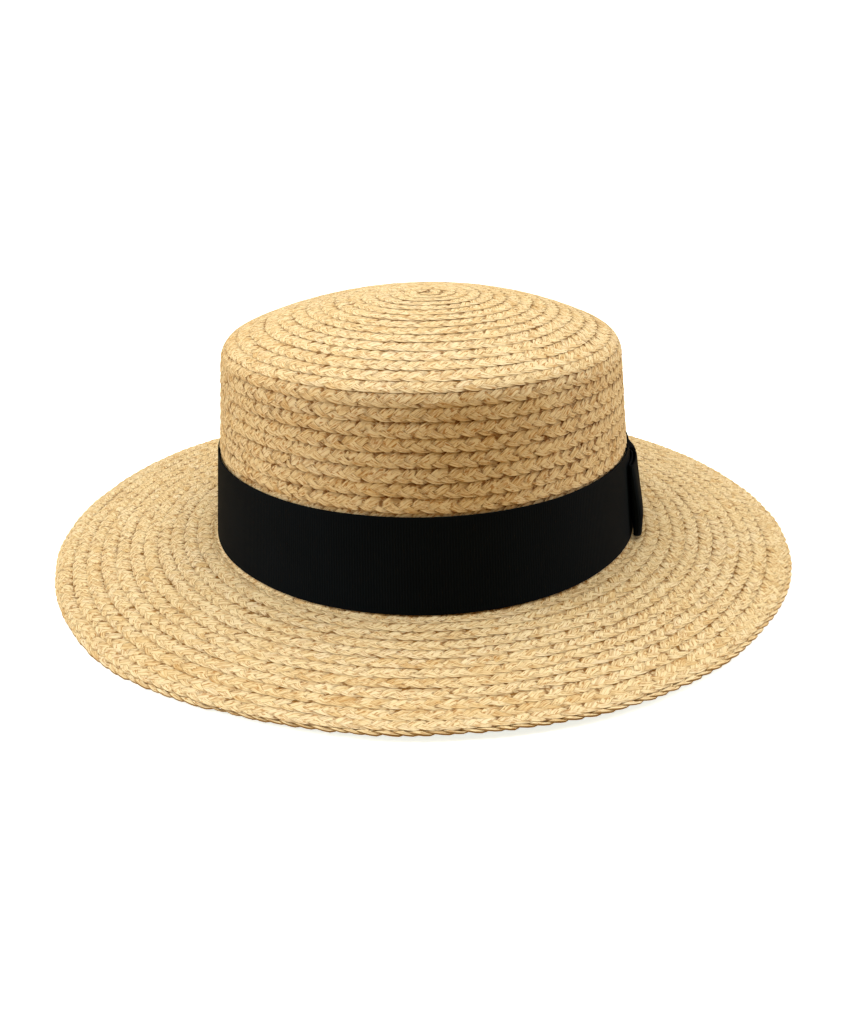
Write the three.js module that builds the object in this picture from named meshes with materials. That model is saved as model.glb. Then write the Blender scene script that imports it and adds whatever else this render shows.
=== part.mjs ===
// A wide-brimmed straw boater. The crown and the brim are coils of sewn braid, a black ribbon goes
// round the crown, and a flat ribbon bow sits on the wearer's left.
// Millimetres, +Z up, the front of the hat towards -Y. The brim rests on Z = 0.
import * as THREE from "three";

// Ovals of the crown. Width runs along X and length along Y.
const BASE = { halfWidth: 86.0, halfLength: 99.6 }; // outside of the straw, at the brim
const TOP = { halfWidth: 79.0, halfLength: 92.9 }; // where the rounded edge of the tip begins
const ROOT_HEIGHT = 7.0; // upper side of the brim where it meets the crown
const TIP_EDGE_HEIGHT = 84.6;
const TIP_EDGE_RADIUS = 8;
const TIP_EDGE_START = 22; // degrees from level, where the dome runs into the rounded edge
const DOME_RISE = 15;
const DOME_POWER = 2.16; // 2 is a parabola, and more is flatter in the middle
const COIL_CENTRE = { x: 3, y: -6 }; // the coil starts a little off the middle of the tip

const STRAW_WALL = 2.2;
const ROW_STEP = 0.6; // each row's outer edge stands this proud of the row below it
const TIP_ROWS = 14;
const EDGE_ROWS = 2;
const SIDE_ROWS = 7; // those above the ribbon
const BRIM_ROWS = 12;
const BRIM_WIDTH = 63;
const FLAT_HEM = 5; // width of the doubled outermost row, which lies flat
const EDGE_ROUNDING = 0.5;
const SEAM_HEIGHT = 16; // the crown is sewn to the brim's collar here, behind the ribbon
const GAP = 0.3;

const RIBBON_THICKNESS = 1;
const RIBBON_LOW = ROOT_HEIGHT + GAP;
const RIBBON_HIGH = RIBBON_LOW + 34;

// The bow is one ribbon folded into two flat loops and held in the middle by a knot.
const BOW_AZIMUTH = -1.5; // degrees from +X, where its middle sits
const BOW_HALF_LENGTH = 41;
const BOW_HEIGHT = 31;
const BOW_PINCHED_HEIGHT = 25;
const BOW_LOW_EDGE = 8.2;
const BOW_THICKNESS = 0.9;
const LOOP_DEPTH = 5; // outside of the loops, off the ribbon, at their fullest
const LOOP_UPPER_DEPTH = 4.2; // the same near their upper edge
const KNOT_WIDTH = 13;
const KNOT_THICKNESS = 0.9;
const KNOT_CLEARANCE = 0.35;

const SEGMENTS = 48;
const FULL_TURN = Math.PI * 2;

// The brim isn't quite flat or oval. At each of these angles, in even steps from +X towards the back,
// its edge is this far out from the plain oval, and its lower side this far up from the table.
const BRIM_EDGE = [
  { at: 0, out: -0.6, up: 0 },
  { at: 22.5, out: -0.5, up: 0.6 },
  { at: 45, out: 0.3, up: 0.5 },
  { at: 67.5, out: -0.1, up: 0 },
  { at: 90, out: 0, up: 0 },
  { at: 112.5, out: -0.1, up: 1.5 },
  { at: 135, out: 0.2, up: 3.6 },
  { at: 157.5, out: -0.5, up: 4.1 },
  { at: 180, out: 1.2, up: 2.5 },
  { at: 202.5, out: 1.3, up: 0.4 },
  { at: 225, out: 1.2, up: 0 },
  { at: 247.5, out: -0.9, up: 0.7 },
  { at: 270, out: 0.3, up: 1.8 },
  { at: 292.5, out: 0.6, up: 1.6 },
  { at: 315, out: -1.6, up: 0.4 },
  { at: 337.5, out: -1.1, up: 0 },
];

const radians = THREE.MathUtils.degToRad;
const mix = THREE.MathUtils.lerp;

// A smooth value of one column of BRIM_EDGE at any angle.
function edgeValue(column, angle) {
  const count = BRIM_EDGE.length;
  const place = THREE.MathUtils.radToDeg(angle) / BRIM_EDGE[1].at;
  const row = Math.floor(place);
  const t = place - row;
  const [before, from, to, after] = [-1, 0, 1, 2].map((k) => BRIM_EDGE[(row + k + count) % count][column]);
  const slope = (to - before) / 2;
  const bend = before - 2.5 * from + 2 * to - after / 2;
  const twist = (after - before) / 2 + 1.5 * (from - to);
  return from + t * (slope + t * (bend + t * twist));
}

const edgeOut = (angle) => edgeValue("out", angle);
const edgeUp = (angle) => Math.max(0, edgeValue("up", angle));

// --- Shells: rings of points joined one after another -----------------------------------------

// Joins rings of equal length into one closed body. The rings close on themselves. The last ring
// joins the first, or, where poles are given, each end closes on its pole.
function bodyFromRings(rings, poles) {
  const size = rings[0].length;
  const points = rings.flat();
  const faces = [];
  const last = poles ? rings.length - 1 : rings.length;
  for (let i = 0; i < last; i += 1) {
    const here = i * size;
    const next = ((i + 1) % rings.length) * size;
    for (let j = 0; j < size; j += 1) {
      const k = (j + 1) % size;
      faces.push(here + j, next + j, next + k, here + j, next + k, here + k);
    }
  }
  if (poles) {
    const first = points.push(poles[0]) - 1;
    const second = points.push(poles[1]) - 1;
    const end = (rings.length - 1) * size;
    for (let j = 0; j < size; j += 1) {
      const k = (j + 1) % size;
      faces.push(first, j, k, second, end + k, end + j);
    }
  }
  const geometry = new THREE.BufferGeometry();
  geometry.setAttribute("position", new THREE.Float32BufferAttribute(points.flatMap((p) => p.toArray()), 3));
  geometry.setIndex(faces);
  geometry.computeVertexNormals();
  return geometry;
}

// An oval ring. The height and the spread can each be a number or a function of the angle, and the
// shift is how far the ring's middle has moved towards the middle of the coil.
function ovalRing({ halfWidth, halfLength, height, spread = 0, shift = 0 }) {
  const at = (value, angle) => (typeof value === "function" ? value(angle) : value);
  return Array.from({ length: SEGMENTS }, (_, j) => {
    const angle = (j / SEGMENTS) * FULL_TURN;
    const out = at(spread, angle);
    return new THREE.Vector3(
      COIL_CENTRE.x * shift + (halfWidth + out) * Math.cos(angle),
      COIL_CENTRE.y * shift + (halfLength + out) * Math.sin(angle),
      at(height, angle),
    );
  });
}

// --- Crown ------------------------------------------------------------------------------------

// The nominal outside of the crown. Each gives an oval, its height, and the way the straw faces there,
// from 0 for straight up to 90 degrees for straight out.
function domeAt(share) {
  const startSine = Math.sin(radians(TIP_EDGE_START));
  const halfWidth = TOP.halfWidth - TIP_EDGE_RADIUS * (1 - startSine);
  const halfLength = TOP.halfLength - TIP_EDGE_RADIUS * (1 - startSine);
  const rim = TIP_EDGE_HEIGHT - TIP_EDGE_RADIUS * (1 - Math.cos(radians(TIP_EDGE_START)));
  return {
    halfWidth: halfWidth * share,
    halfLength: halfLength * share,
    height: rim + DOME_RISE * (1 - share ** DOME_POWER),
    facing: radians(TIP_EDGE_START) * share ** (DOME_POWER - 1),
    shift: 1 - share,
  };
}

function tipEdgeAt(share) {
  const facing = radians(mix(TIP_EDGE_START, 90, share));
  const inward = TIP_EDGE_RADIUS * (1 - Math.sin(facing));
  return {
    halfWidth: TOP.halfWidth - inward,
    halfLength: TOP.halfLength - inward,
    height: TIP_EDGE_HEIGHT - TIP_EDGE_RADIUS * (1 - Math.cos(facing)),
    facing,
  };
}

const SIDE_TOP = TIP_EDGE_HEIGHT - TIP_EDGE_RADIUS;

function sideAt(height) {
  const share = (height - ROOT_HEIGHT) / (SIDE_TOP - ROOT_HEIGHT);
  return {
    halfWidth: mix(BASE.halfWidth, TOP.halfWidth, share),
    halfLength: mix(BASE.halfLength, TOP.halfLength, share),
    height,
    facing: Math.PI / 2,
  };
}

// The same place, moved off the nominal surface by some distance.
function offset(place, distance) {
  return {
    ...place,
    halfWidth: place.halfWidth + distance * Math.sin(place.facing),
    halfLength: place.halfLength + distance * Math.sin(place.facing),
    height: place.height + distance * Math.cos(place.facing),
  };
}

// Rows of braid, each starting low under the row before it and ending proud over the next.
function braidRows(count, placeAt) {
  const places = [];
  for (let row = 0; row < count; row += 1) {
    places.push(offset(placeAt(row / count), -ROW_STEP / 2));
    places.push(offset(placeAt((row + 1) / count), ROW_STEP / 2));
  }
  return places;
}

// Sides of the straw, off the nominal surface. The ribbon draws in the rows behind it.
const INSIDE = ROW_STEP / 2 - STRAW_WALL;
const BEHIND_RIBBON = -ROW_STEP / 2;

function crownGeometry() {
  const lowestRow = RIBBON_HIGH + GAP;
  const outside = [
    ...braidRows(TIP_ROWS, domeAt).slice(1),
    ...braidRows(EDGE_ROWS, tipEdgeAt),
    ...braidRows(SIDE_ROWS, (share) => sideAt(mix(SIDE_TOP, lowestRow, share))),
    offset(sideAt(lowestRow), BEHIND_RIBBON),
    offset(sideAt(SEAM_HEIGHT), BEHIND_RIBBON),
  ];
  const inside = [
    ...[SEAM_HEIGHT, 36, 56, SIDE_TOP].map((height) => offset(sideAt(height), INSIDE)),
    ...[0.5, 0].map((share) => offset(tipEdgeAt(share), INSIDE)),
    ...[0.8, 0.6, 0.4, 0.2].map((share) => offset(domeAt(share), INSIDE)),
  ];
  const peak = domeAt(0).height;
  return bodyFromRings([...outside, ...inside].map(ovalRing), [
    new THREE.Vector3(COIL_CENTRE.x, COIL_CENTRE.y, peak),
    new THREE.Vector3(COIL_CENTRE.x, COIL_CENTRE.y, peak + INSIDE),
  ]);
}

// --- Brim -------------------------------------------------------------------------------------

// A place across the brim, from 0 at the crown to 1 at the edge. The lift is off its upper side.
function brimAt(share, lift) {
  return {
    halfWidth: BASE.halfWidth + BRIM_WIDTH * share,
    halfLength: BASE.halfLength + BRIM_WIDTH * share,
    spread: (angle) => edgeOut(angle) * share ** 2,
    height: (angle) => mix(ROOT_HEIGHT, edgeUp(angle) + STRAW_WALL - ROW_STEP / 2, share) + lift,
  };
}

// The underside of the doubled outermost row. It is level from its outer edge to its inner one.
function hemAt(share) {
  return { ...brimAt(share, 0), height: edgeUp };
}

function brimGeometry() {
  const hemShare = 1 - FLAT_HEM / BRIM_WIDTH;
  const rounded = EDGE_ROUNDING / BRIM_WIDTH;
  const upper = [];
  for (let row = 0; row < BRIM_ROWS; row += 1) {
    upper.push(brimAt(row / BRIM_ROWS, -ROW_STEP / 2));
    upper.push(brimAt((row + 1) / BRIM_ROWS - (row === BRIM_ROWS - 1 ? rounded : 0), ROW_STEP / 2));
  }
  const inner = sideAt(ROOT_HEIGHT);
  const collarTop = SEAM_HEIGHT - GAP;
  return bodyFromRings(
    [
      offset(sideAt(collarTop), BEHIND_RIBBON),
      offset(sideAt(ROOT_HEIGHT), BEHIND_RIBBON),
      ...upper.slice(1),
      brimAt(1, -ROW_STEP),
      hemAt(1 - rounded),
      hemAt(hemShare),
      brimAt(0.5, INSIDE),
      brimAt(0.05, INSIDE),
      { ...offset(inner, INSIDE), height: ROOT_HEIGHT },
      offset(sideAt(collarTop), INSIDE),
    ].map(ovalRing),
  );
}

// --- Ribbon -----------------------------------------------------------------------------------

const RIBBON_INSIDE = BEHIND_RIBBON + GAP; // off the nominal surface of the straw
const RIBBON_OUTSIDE = RIBBON_INSIDE + RIBBON_THICKNESS;

function ribbonGeometry() {
  return bodyFromRings(
    [
      offset(sideAt(RIBBON_HIGH), RIBBON_OUTSIDE),
      offset(sideAt(RIBBON_LOW), RIBBON_OUTSIDE),
      offset(sideAt(RIBBON_LOW), RIBBON_INSIDE),
      offset(sideAt(RIBBON_HIGH), RIBBON_INSIDE),
    ].map(ovalRing),
  );
}

// --- Bow --------------------------------------------------------------------------------------

// A point beside the ribbon: a distance along it from the middle of the bow, a distance off it, a height.
function besideRibbon(along, off, height) {
  const oval = offset(sideAt(height), RIBBON_OUTSIDE);
  const angle = radians(BOW_AZIMUTH) + along / oval.halfLength;
  const outward = new THREE.Vector3(Math.cos(angle) / oval.halfWidth, Math.sin(angle) / oval.halfLength, 0);
  return new THREE.Vector3(oval.halfWidth * Math.cos(angle), oval.halfLength * Math.sin(angle), height)
    .addScaledVector(outward.normalize(), off);
}

// Half of the folded ribbon, from the middle of its back to the middle of its front. Along is a share
// of the half length, off is a share of the loop's depth, and tall goes from pinched (0) to full (1).
const LOOP_SECTIONS = [
  { along: 0, off: 0.32, tall: 0 },
  { along: 0.2, off: 0.31, tall: 0.1 },
  { along: 0.4, off: 0.12, tall: 0.5 },
  { along: 0.7, off: 0.02, tall: 0.85 },
  { along: 0.93, off: 0.03, tall: 1 },
  { along: 0.985, off: 0.2, tall: 1 },
  { along: 1, off: 0.48, tall: 1 },
  { along: 0.985, off: 0.8, tall: 1 },
  { along: 0.93, off: 1, tall: 1 },
  { along: 0.7, off: 0.84, tall: 0.85 },
  { along: 0.4, off: 0.7, tall: 0.5 },
  { along: 0.2, off: 0.64, tall: 0.1 },
  { along: 0, off: 0.62, tall: 0 },
];
const BOW_LEVELS = [0, 0.33, 0.67, 1]; // shares of the height, from the lower edge up

function loopPlace(row, side, level) {
  const tall = mix(BOW_PINCHED_HEIGHT, BOW_HEIGHT, row.tall);
  const low = BOW_LOW_EDGE + (BOW_HEIGHT - tall) / 2;
  const slimming = (row.tall * Math.max(0, level - 0.33)) / 0.67;
  const depth = mix(LOOP_DEPTH, LOOP_UPPER_DEPTH, slimming) - BOW_THICKNESS - GAP;
  return {
    along: side * row.along * BOW_HALF_LENGTH,
    off: GAP + BOW_THICKNESS / 2 + row.off * depth,
    height: low + tall * level,
  };
}

function bowLoopsGeometry() {
  const wayBack = LOOP_SECTIONS.slice(1, -1).reverse();
  const route = [
    ...LOOP_SECTIONS.map((row) => ({ row, side: 1 })),
    ...wayBack.map((row) => ({ row, side: -1 })),
  ];
  const levels = [
    ...BOW_LEVELS.map((level) => ({ level, face: 1 })),
    ...BOW_LEVELS.toReversed().map((level) => ({ level, face: -1 })),
  ];
  const rings = route.map(({ row, side }, i) => {
    const before = route[(i + route.length - 1) % route.length];
    const after = route[(i + 1) % route.length];
    return levels.map(({ level, face }) => {
      const here = loopPlace(row, side, level);
      const from = loopPlace(before.row, before.side, level);
      const to = loopPlace(after.row, after.side, level);
      const run = new THREE.Vector2(to.along - from.along, to.off - from.off).normalize();
      const half = (face * BOW_THICKNESS) / 2;
      return besideRibbon(here.along - run.y * half, here.off + run.x * half, here.height);
    });
  });
  return bodyFromRings(rings);
}

// The knot goes round the pinched middle: down its front and up behind it.
function bowKnotGeometry() {
  const middle = BOW_LOW_EDGE + BOW_HEIGHT / 2;
  const reach = BOW_PINCHED_HEIGHT / 2 + KNOT_CLEARANCE;
  const depth = LOOP_DEPTH - BOW_THICKNESS - GAP;
  const back = GAP + LOOP_SECTIONS.at(0).off * depth - KNOT_CLEARANCE;
  const front = GAP + BOW_THICKNESS + LOOP_SECTIONS.at(-1).off * depth + KNOT_CLEARANCE;
  const half = KNOT_WIDTH / 2;
  const loopAround = (backOff, frontOff, rise, bevel) => [
    { off: frontOff, rise: rise - bevel },
    { off: frontOff, rise: bevel - rise },
    { off: frontOff - bevel, rise: -rise },
    { off: backOff, rise: -rise },
    { off: backOff, rise },
    { off: frontOff - bevel, rise },
  ];
  const inner = loopAround(back, front, reach, 0.3);
  const outer = loopAround(GAP, front + KNOT_THICKNESS, reach + KNOT_THICKNESS, 0.8);
  const ends = [-half, -half / 2, 0, half / 2, half];
  const rings = inner.map((place, i) => [
    ...ends.map((along) => besideRibbon(along, outer[i].off, middle + outer[i].rise)),
    ...ends.toReversed().map((along) => besideRibbon(along, place.off, middle + place.rise)),
  ]);
  return bodyFromRings(rings);
}

// --- The hat ----------------------------------------------------------------------------------

const straw = () => new THREE.MeshStandardMaterial({ color: 0xd9bd8b, roughness: 0.75, metalness: 0 });
const grosgrain = () => new THREE.MeshStandardMaterial({ color: 0x101010, roughness: 0.6, metalness: 0 });

function piece(name, geometry, material) {
  const mesh = new THREE.Mesh(geometry, material);
  mesh.name = name;
  return mesh;
}

const hat = new THREE.Group();
hat.add(piece("crown", crownGeometry(), straw()));
hat.add(piece("brim", brimGeometry(), straw()));
hat.add(piece("ribbon", ribbonGeometry(), grosgrain()));
hat.add(piece("bow_loops", bowLoopsGeometry(), grosgrain()));
hat.add(piece("bow_knot", bowKnotGeometry(), grosgrain()));

export default hat;
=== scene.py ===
import math

import bpy
import numpy as np
from mathutils import Matrix, Vector


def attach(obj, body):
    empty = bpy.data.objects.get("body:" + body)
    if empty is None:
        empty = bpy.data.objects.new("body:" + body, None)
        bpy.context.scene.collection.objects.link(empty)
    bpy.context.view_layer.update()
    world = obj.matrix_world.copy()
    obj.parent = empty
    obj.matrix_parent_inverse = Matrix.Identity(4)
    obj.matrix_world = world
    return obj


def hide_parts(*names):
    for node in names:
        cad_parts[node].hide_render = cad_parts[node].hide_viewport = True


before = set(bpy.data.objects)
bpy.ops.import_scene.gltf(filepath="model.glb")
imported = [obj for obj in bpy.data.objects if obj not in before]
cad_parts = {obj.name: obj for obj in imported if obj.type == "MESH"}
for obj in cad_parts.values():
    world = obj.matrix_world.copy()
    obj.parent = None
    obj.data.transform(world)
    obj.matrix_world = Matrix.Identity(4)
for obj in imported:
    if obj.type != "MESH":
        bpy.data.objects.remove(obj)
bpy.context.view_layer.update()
mm = 0.001  # lengths below are in millimetres and go through this once


def pick(obj):
    bpy.ops.object.select_all(action="DESELECT")
    obj.select_set(True)
    bpy.context.view_layer.objects.active = obj


# sRGB hex as it is read off a colour card, turned into the linear colour that shaders want
def linearColour(hexCode):
    channels = [int(hexCode[i:i + 2], 16) / 255 for i in (1, 3, 5)]
    return tuple(c / 12.92 if c <= 0.04045 else ((c + 0.055) / 1.055) ** 2.4 for c in channels) + (1,)


# One shader node, its settings, the values on its sockets and what is plugged into them
def addNode(tree, kind, settings=None, values=None, links=None):
    node = tree.nodes.new("ShaderNode" + kind)
    for name, value in (settings or {}).items():
        setattr(node, name, value)
    for name, value in (values or {}).items():
        node.inputs[name].default_value = value
    for name, source in (links or {}).items():
        tree.links.new(source, node.inputs[name])
    return node


def newMaterial(name):
    material = bpy.data.materials.new(name)
    material.use_nodes = True
    tree = material.node_tree
    tree.nodes.clear()
    return material, tree


def smoothStep(low, high, value):
    t = np.clip((value - low) / (high - low), 0, 1)
    return t * t * (3 - 2 * t)


# How far along a line each of its points is
def runLength(points):
    return np.concatenate([[0], np.cumsum(np.linalg.norm(np.diff(points, axis=0), axis=1))])


camera = {
    "aim": (0.92, 0.0, 4.37),   # mm, a point just over the table under the crown
    "distance": 427.99,         # mm, a close view, so the brim swells towards the lens
    "elevation": 21.889,        # degrees above level
    "azimuth": -3.169,          # degrees round from straight in front
    "roll": -1.382,
    "lens": 35.063,
}


def placeCamera():
    look = Matrix.Rotation(math.radians(camera["azimuth"]), 4, "Z")
    look = look @ Matrix.Rotation(math.radians(90 - camera["elevation"]), 4, "X")
    look = look @ Matrix.Rotation(math.radians(camera["roll"]), 4, "Z")
    back = look.to_3x3() @ Vector((0, 0, 1))
    bpy.ops.object.camera_add(location=(Vector(camera["aim"]) + back * camera["distance"]) * mm)
    eye = bpy.context.object
    eye.name = "viewCamera"
    eye.rotation_euler = look.to_euler()
    eye.data.lens = camera["lens"]
    eye.data.sensor_width = 36
    eye.data.clip_start = 0.01
    bpy.context.scene.camera = eye


placeCamera()
print("camera placed")


# Millimetres. The crown is an oval that widens a little towards the brim, the tip is a low dome with a
# rounded edge, and the brim is an oval that isn't quite flat.
hatShape = {
    "baseHalfWidth": 86.0, "baseHalfLength": 99.6,
    "topHalfWidth": 79.0, "topHalfLength": 92.9,
    "rootHeight": 7.0,
    "tipEdgeHeight": 84.6, "tipEdgeRadius": 8.0, "tipEdgeStart": 22.0,
    "domeRise": 15.0, "domePower": 2.16,
    "coilCentre": (3.0, -6.0),
    "brimWidth": 63.0,
    "brimThickness": 1.9,
}

# Round the brim's edge from +X towards the back, in equal steps: mm out from the oval, mm off the table
brimEdge = {
    "out": [-0.6, -0.5, 0.3, -0.1, 0, -0.1, 0.2, -0.5, 1.2, 1.3, 1.2, -0.9, 0.3, 0.6, -1.6, -1.1],
    "up": [0, 0.6, 0.5, 0, 0, 1.5, 3.6, 4.1, 2.5, 0.4, 0, 0.7, 1.8, 1.6, 0.4, 0],
}

# Rows of braid on each part, counted from the middle of the tip
rows = {"tip": 14, "edge": 2, "side": 14, "brim": 12}
edgeRow = rows["tip"]
sideRow = edgeRow + rows["edge"]
rootRow = sideRow + rows["side"]
lastRow = rootRow + rows["brim"]


# A smooth curve through brimEdge's values, at any angles
def edgeCurve(name, angle):
    values = np.array(brimEdge[name], float)
    count = len(values)
    place = np.degrees(angle) / (360 / count)
    start = np.floor(place).astype(int)
    t = place - start
    before, here, there, after = [values[(start + k) % count] for k in (-1, 0, 1, 2)]
    slope = (there - before) / 2
    bend = before - 2.5 * here + 2 * there - after / 2
    twist = (after - before) / 2 + 1.5 * (here - there)
    return here + t * (slope + t * (bend + t * twist))


sideTop = hatShape["tipEdgeHeight"] - hatShape["tipEdgeRadius"]


# Half width and half length of the crown's side at a height
def sideOval(height):
    h = hatShape
    share = (height - h["rootHeight"]) / (sideTop - h["rootHeight"])
    return (h["baseHalfWidth"] + (h["topHalfWidth"] - h["baseHalfWidth"]) * share,
            h["baseHalfLength"] + (h["topHalfLength"] - h["baseHalfLength"]) * share)


# Half width, half length, height and coil shift on the straw's outside, for any row and angle
def ovalAt(row, angle):
    h = hatShape
    radius = h["tipEdgeRadius"]
    startAngle = math.radians(h["tipEdgeStart"])
    domeIn = radius * (1 - math.sin(startAngle))
    rim = h["tipEdgeHeight"] - radius * (1 - math.cos(startAngle))

    share = row / edgeRow
    domeHeight = rim + h["domeRise"] * (1 - np.abs(np.clip(share, -1, 1)) ** h["domePower"])
    dome = [(h["topHalfWidth"] - domeIn) * share, (h["topHalfLength"] - domeIn) * share, domeHeight]

    share = np.clip((row - edgeRow) / rows["edge"], 0, 1)
    facing = startAngle + (math.pi / 2 - startAngle) * share
    inward = radius * (1 - np.sin(facing))
    edge = [h["topHalfWidth"] - inward, h["topHalfLength"] - inward,
            h["tipEdgeHeight"] - radius * (1 - np.cos(facing))]

    share = np.clip((row - sideRow) / rows["side"], 0, 1)
    sideHeight = sideTop + (h["rootHeight"] - sideTop) * share
    side = [*sideOval(sideHeight), sideHeight]

    share = (row - rootRow) / rows["brim"]
    out = h["brimWidth"] * share + edgeCurve("out", angle) * share ** 2
    edgeTop = np.maximum(0, edgeCurve("up", angle)) + h["brimThickness"]
    brim = [h["baseHalfWidth"] + out, h["baseHalfLength"] + out,
            h["rootHeight"] + (edgeTop - h["rootHeight"]) * share]

    where = [row < edgeRow, row < sideRow, row < rootRow]
    ovals = [np.select(where, [dome[k], edge[k], side[k]], brim[k]) for k in range(3)]
    shift = np.clip(1 - np.abs(row) / edgeRow, 0, 1)
    return ovals + [shift]


# Points on the straw's outside, averaged over a third of a row so that corners are soft
def strawPoint(row, angle):
    row, angle = np.broadcast_arrays(np.asarray(row, float), np.asarray(angle, float))
    point = 0
    for step, weight in ((-0.3, 0.25), (0, 0.5), (0.3, 0.25)):
        halfWidth, halfLength, height, shift = ovalAt(row + step, angle)
        x = hatShape["coilCentre"][0] * shift + halfWidth * np.cos(angle)
        y = hatShape["coilCentre"][1] * shift + halfLength * np.sin(angle)
        point = point + weight * np.stack([x, y, height], -1)
    return point


# From a little before a place on the straw to a little after it
def strawStep(row, angle, rowStep, angleStep):
    return strawPoint(row + rowStep, angle + angleStep) - strawPoint(row - rowStep, angle - angleStep)


def unit(vectors):
    return vectors / np.maximum(np.linalg.norm(vectors, axis=-1, keepdims=True), 1e-9)


# Raffia strips plaited in threes. One whole wave of a strand is modelled, and repeats all the way.
plait = {
    "wave": 15.6,         # mm for one strand to cross over and come back
    "ringsPerWave": 12,   # has to be a multiple of three
    "sway": 2.05,         # mm from the middle of the plait to a strand at its edge
    "sharpen": 0.05,      # folded strips run straight from edge to edge
    "edge": 3.7,          # mm, the folds end here, which makes the plait's edge straight
    "halves": (1.36, 0.64),   # the half towards the brim is pulled narrower when it is sewn down
    "middle": 0.85,       # mm towards the brim, where the halves meet
    "rise": 0.11,         # mm over and under the other strands
    "strandWidth": 3.0,
    "strandHeight": 0.27,
    "shoulder": (1.22, 1.08),   # moves the corners next to the top out and up, which makes the strip flat
    "crease": 0.75,       # draws the top's middle in, where a strip is folded lengthwise
    "widthChange": 0.16,  # shares and mm of unevenness, as raffia has
    "fatChange": 0.05,
    "swayChange": 0.15,
    "riseChange": 0.02,
    "turnChange": 0.04,
    "toneChange": (0.07, 0.06),   # from strip to strip, and from bundle to bundle
    "rowPitch": 5.3,      # mm from row to row that this width suits
    "pitchRange": (0.9, 1.3),     # shares of that, how far a row is squeezed or stretched to suit another
    "rowWander": 0.2,     # mm that a whole row strays from its line
    "stitchChange": 0.4,
    "lift": -0.40,        # mm, middle of the plait off the straw's outside
    "tuckLift": -0.45,    # mm more where it is pressed in under the ribbon
    "tuckHeights": (41.6, 39.6),   # mm above the table, where that starts and where it is complete
    # each row leans over the next by this slope, less where tip and brim are pressed flat
    "shingle": 0.026, "sideShingle": 0.072, "brimShingle": 0.02,
    "shingleChange": 0.5, "sideShingleChange": 0.2,
    "crown": 0.005, "sideCrown": 0.006,   # mm per square mm, how far a row curves back towards its edges
    "flatRelief": 0.48,   # share of the strands' relief that the press leaves on tip and brim
    "seed": 11,
}


# Where a strand's middle is at a share of its wave, and which way it heads
def strandWave(share):
    p = plait
    turn = 2 * math.pi * share
    slope = 2 * math.pi / p["wave"]
    sway = p["sway"] / (1 + p["sharpen"])
    middle = Vector((p["wave"] * share,
                     sway * (math.sin(turn) - p["sharpen"] * math.sin(3 * turn)),
                     p["rise"] * math.sin(2 * turn)))
    heading = Vector((1, sway * slope * (math.cos(turn) - 3 * p["sharpen"] * math.cos(3 * turn)),
                      2 * p["rise"] * slope * math.cos(2 * turn)))
    return middle, heading.normalized()


# Selects in object mode the points or the edges for which a test holds, then goes to edit mode
def selectParts(obj, kind, test):
    bpy.ops.object.mode_set(mode="EDIT")
    bpy.ops.mesh.select_mode(type=kind)
    bpy.ops.mesh.select_all(action="DESELECT")
    bpy.ops.object.mode_set(mode="OBJECT")
    for part in obj.data.edges if kind == "EDGE" else obj.data.vertices:
        part.select = test(part)
    bpy.ops.object.mode_set(mode="EDIT")


# One wave of a strand: an eight-sided bar with cuts, whose rings are flattened, turned and moved one by one
def modelStrand():
    p = plait
    rings = p["ringsPerWave"]
    bpy.ops.mesh.primitive_cylinder_add(
        vertices=8, radius=0.5 * mm, depth=p["wave"] * mm, end_fill_type="NOTHING",
        location=(p["wave"] * mm / 2, 0, 0), rotation=(0, math.pi / 2, 0))
    bar = bpy.context.object
    bar.name = "strandWave"
    bpy.ops.object.transform_apply(location=True, rotation=True, scale=True)
    # the long edges, which join the bar's ends, are cut into rings
    atEnd = [vertex.co.x > 1 * mm for vertex in bar.data.vertices]
    selectParts(bar, "EDGE", lambda edge: atEnd[edge.vertices[0]] != atEnd[edge.vertices[1]])
    bpy.ops.mesh.subdivide(number_cuts=rings - 1)
    bpy.ops.object.mode_set(mode="OBJECT")

    # the ring and the corner that each point is on
    places = []
    for vertex in bar.data.vertices:
        corner = round(math.atan2(vertex.co.z, vertex.co.y) / (math.pi / 4)) % 8
        places.append((round(vertex.co.x / (p["wave"] * mm) * rings), corner))
    selectParts(bar, "VERT", lambda point: places[point.index][1] % 2 == 1)
    bpy.ops.transform.resize(value=(1, *p["shoulder"]), center_override=(0, 0, 0))
    selectParts(bar, "VERT", lambda point: places[point.index][1] in (2, 6))
    bpy.ops.transform.resize(value=(1, 1, p["crease"]), center_override=(0, 0, 0))
    for ring in range(rings + 1):
        middle, heading = strandWave(ring / rings)
        centre = Vector((middle.x, 0, 0)) * mm
        selectParts(bar, "VERT", lambda point: places[point.index][0] == ring)
        bpy.ops.transform.resize(value=(1, p["strandWidth"], p["strandHeight"]), center_override=centre)
        bpy.ops.transform.rotate(value=math.asin(heading.z), orient_axis="Y", center_override=centre)
        bpy.ops.transform.rotate(value=-math.atan2(heading.y, heading.x), orient_axis="Z",
                                 center_override=centre)
        bpy.ops.transform.translate(value=(0, middle.y * mm, middle.z * mm))
    bpy.ops.object.mode_set(mode="OBJECT")

    # the corners of each ring, in millimetres, less the ring's own place along the wave
    shape = np.zeros((rings, 8, 3))
    for vertex, (ring, corner) in zip(bar.data.vertices, places):
        if ring < rings:
            shape[ring, corner] = np.array(vertex.co) / mm - (ring / rings * p["wave"], 0, 0)
    bpy.data.objects.remove(bar)
    return shape


# Smooth unevenness along a line: random values some steps apart, with a soft curve through them
def softNoise(random, count, spacing):
    knots = random.normal(size=int(count / spacing) + 4)
    place = np.arange(count) / spacing
    start = place.astype(int)
    t = place - start
    t = t * t * (3 - 2 * t)
    return knots[start] * (1 - t) + knots[start + 1] * t


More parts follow.
